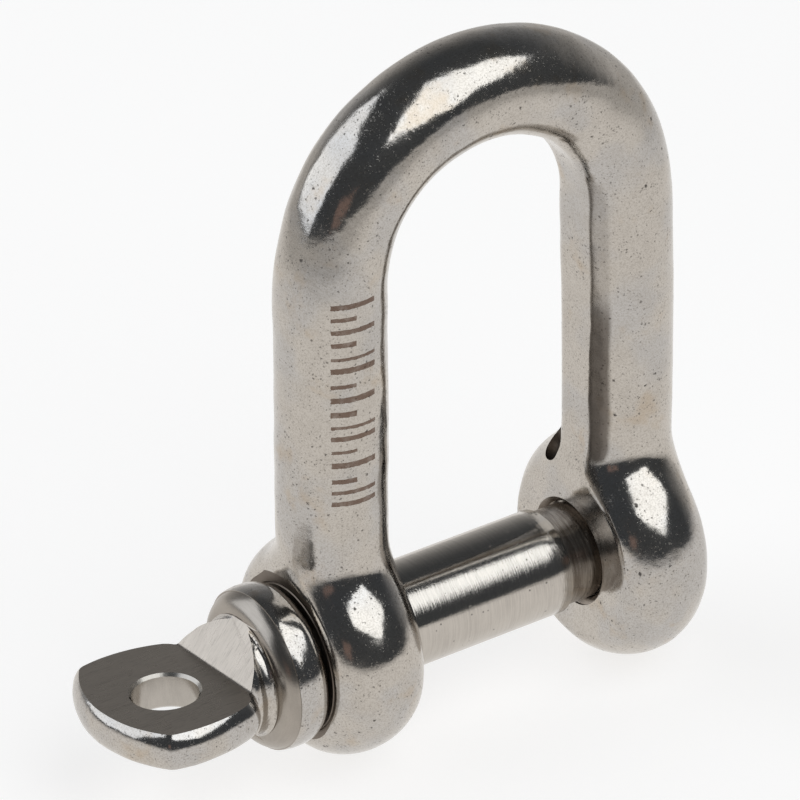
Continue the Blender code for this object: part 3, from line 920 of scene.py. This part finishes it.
def softbox(name, azimuth, elevation, wide, high, radiance, color, turn=0, distance=0.6):
    """A rectangular light that covers these angles, in degrees, as the object sees it."""
    light = bpy.data.lights.new(name, "AREA")
    light.shape = "RECTANGLE"
    light.size = 2 * distance * math.tan(math.radians(wide / 2))
    light.size_y = 2 * distance * math.tan(math.radians(high / 2))
    light.energy = radiance * math.pi * light.size * light.size_y
    light.color = color
    lamp = bpy.data.objects.new(name, light)
    bpy.context.scene.collection.objects.link(lamp)
    away = direction(azimuth, elevation)
    lamp.location = away * distance + Vector((0, 0, 10 * MM))
    facing = away.to_track_quat("Z", "Y").to_matrix() @ Matrix.Rotation(math.radians(turn), 3, "Z")
    lamp.rotation_euler = facing.to_euler()


def make_floor():
    shape = bmesh.new()
    bmesh.ops.create_circle(shape, cap_ends=True, segments=96, radius=FLOOR_RADIUS)
    mesh = bpy.data.meshes.new("floor")
    shape.to_mesh(mesh)
    shape.free()
    floor = add_object("floor", mesh, Matrix.Translation((0, 0, FLOOR_Z * MM)))
    material = bpy.data.materials.new("white table")
    material.use_nodes = True
    tree = material.node_tree
    shader = tree.nodes["Principled BSDF"]
    shader.inputs["Base Color"].default_value = (*FLOOR_TONE, 1)
    shader.inputs["Roughness"].default_value = 0.9
    shader.inputs["Specular IOR Level"].default_value = 0.1
    shader.inputs["Emission Color"].default_value = (1, 1, 1, 1)
    shader.inputs["Emission Strength"].default_value = FLOOR_GLOW
    place = tree.nodes.new("ShaderNodeNewGeometry")
    far = tree.nodes.new("ShaderNodeVectorMath")
    far.operation = "LENGTH"
    tree.links.new(place.outputs["Position"], far.inputs[0])
    fade = tree.nodes.new("ShaderNodeMapRange")
    fade.interpolation_type = "SMOOTHSTEP"
    tree.links.new(far.outputs["Value"], fade.inputs[0])
    for socket, value in zip(fade.inputs[1:5], (*FLOOR_FADE, *FLOOR_LEVELS)):
        socket.default_value = value
    mirrored = tree.nodes.new("ShaderNodeEmission")
    mirrored.inputs["Color"].default_value = (*FLOOR_WARMTH, 1)
    tree.links.new(fade.outputs[0], mirrored.inputs["Strength"])
    path = tree.nodes.new("ShaderNodeLightPath")
    choice = tree.nodes.new("ShaderNodeMixShader")
    tree.links.new(path.outputs["Is Camera Ray"], choice.inputs[0])
    tree.links.new(mirrored.outputs[0], choice.inputs[1])
    tree.links.new(shader.outputs[0], choice.inputs[2])
    tree.links.new(choice.outputs[0], tree.nodes["Material Output"].inputs["Surface"])
    mesh.materials.append(material)


def make_world():
    """A dark room with a pale glow low down behind the object; the camera itself sees a pale backdrop."""
    world = bpy.data.worlds.new("studio")
    bpy.context.scene.world = world
    world.use_nodes = True
    tree = world.node_tree
    tree.nodes.clear()

    def node(kind, **settings):
        made = tree.nodes.new(kind)
        for key, value in settings.items():
            setattr(made, key, value)
        return made

    def math_node(operation, a, b, clamp=False):
        made = node("ShaderNodeMath", operation=operation, use_clamp=clamp)
        for socket, value in zip(made.inputs, (a, b)):
            if isinstance(value, bpy.types.NodeSocket):
                tree.links.new(value, socket)
            else:
                socket.default_value = value
        return made.outputs[0]

    place = node("ShaderNodeTexCoord")
    split = node("ShaderNodeSeparateXYZ")
    tree.links.new(place.outputs["Generated"], split.inputs[0])
    rise = math_node("DIVIDE", split.outputs[2], GLOW_TOP)
    low = math_node("POWER", math_node("SUBTRACT", 1.0, rise, True), GLOW_FALL)
    flat = direction(GLOW_AZIMUTH, 0)
    facing = math_node("ADD", math_node("MULTIPLY", split.outputs[0], flat.x),
                       math_node("MULTIPLY", split.outputs[1], flat.y))
    side = node("ShaderNodeMapRange", interpolation_type="SMOOTHSTEP")
    tree.links.new(facing, side.inputs[0])
    side.inputs[1].default_value, side.inputs[2].default_value = GLOW_FACING
    glow = math_node("MULTIPLY", math_node("MULTIPLY", low, side.outputs[0]), GLOW_LEVEL)
    warm = node("ShaderNodeBackground")
    tree.links.new(glow, warm.inputs["Strength"])
    warm.inputs["Color"].default_value = (*GLOW_TINT, 1)
    dark = node("ShaderNodeBackground")
    dark.inputs["Strength"].default_value = ROOM_LEVEL
    dark.inputs["Color"].default_value = (*ROOM_TINT, 1)
    room = node("ShaderNodeAddShader")
    tree.links.new(warm.outputs[0], room.inputs[0])
    tree.links.new(dark.outputs[0], room.inputs[1])
    seen = node("ShaderNodeBackground")
    seen.inputs["Color"].default_value = (*BACKDROP, 1)
    path = node("ShaderNodeLightPath")
    choice = node("ShaderNodeMixShader")
    tree.links.new(path.outputs["Is Camera Ray"], choice.inputs[0])
    tree.links.new(room.outputs[0], choice.inputs[1])
    tree.links.new(seen.outputs[0], choice.inputs[2])
    out = node("ShaderNodeOutputWorld")
    tree.links.new(choice.outputs[0], out.inputs["Surface"])


def make_camera():
    a, e = CAMERA_AZIMUTH, CAMERA_ELEVATION
    forward = Vector((math.sin(a) * math.cos(e), math.cos(a) * math.cos(e), -math.sin(e)))
    right = Vector((math.cos(a), -math.sin(a), 0))
    up = right.cross(forward)
    level, turn = math.cos(CAMERA_ROLL), math.sin(CAMERA_ROLL)
    right, up = right * level + up * turn, up * level - right * turn
    lens = bpy.data.cameras.new("camera")
    lens.lens = LENS
    lens.sensor_width = 36
    lens.clip_start, lens.clip_end = 0.01, 20
    camera = bpy.data.objects.new("camera", lens)
    bpy.context.scene.collection.objects.link(camera)
    place = Matrix((right, up, -forward)).transposed().to_4x4()
    place.translation = Vector(CAMERA_PLACE) * MM
    camera.matrix_world = place
    bpy.context.scene.camera = camera


def main():
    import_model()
    scene = bpy.context.scene
    scene.view_settings.view_transform = "Standard"
    make_camera()

    cast = cast_steel("cast stainless")
    marked = cast_steel("cast stainless, etched", marked=True)
    bored = turned_steel("bored steel", (0.34, 0.30, 0.26), roughness=0.26, ridges=9.0, depth=0.006)
    # The faced rings' dark brown is painted shade for the narrow gap between the collar and the plain ear.
    faced = turned_steel("faced steel, painted shade", (0.20, 0.168, 0.140), roughness=0.42, ridges=9.0, depth=0.010)
    polished = turned_steel("polished shank", (0.56, 0.525, 0.48), roughness=0.12, ridges=11.0,
                            depth=0.006, dark_from=SHOULDER_X, pitted=1.0)
    threaded = turned_steel("cut thread", (0.48, 0.445, 0.40), roughness=0.26, ridges=12.0, depth=0.003)
    ground = ground_steel("ground steel", (0.505, 0.455, 0.40), roughness=0.28, depth=0.003)
    drilled = turned_steel("drilled steel", (0.50, 0.47, 0.43), roughness=0.25, ridges=3.0, depth=0.006)
    dulled = turned_steel("dulled ring", (0.40, 0.365, 0.325), roughness=0.25, ridges=4.0, depth=0.005)
    # The hollow's dark brown is painted shade for the inside of the hollow.
    hollow_shade = turned_steel("hollow, painted shade", (0.24, 0.205, 0.175), roughness=0.36, ridges=2.0, depth=0.010)

    make_bow(marked, bored, faced, hollow_shade)
    make_head(cast, ground, drilled, dulled)
    make_shank(polished)
    make_thread(threaded)

    make_world()
    make_floor()
    softbox("softbox behind left", azimuth=-53, elevation=29, wide=62, high=51, radiance=1.38,
            color=(0.90, 0.943, 1.0))
    softbox("softbox over camera", azimuth=165, elevation=52, wide=50, high=50, radiance=1.76,
            color=(0.95, 0.98, 1.0), turn=45)
    softbox("warm card", azimuth=-130, elevation=11, wide=16, high=13, radiance=0.17,
            color=(1.0, 0.60, 0.46))


main()
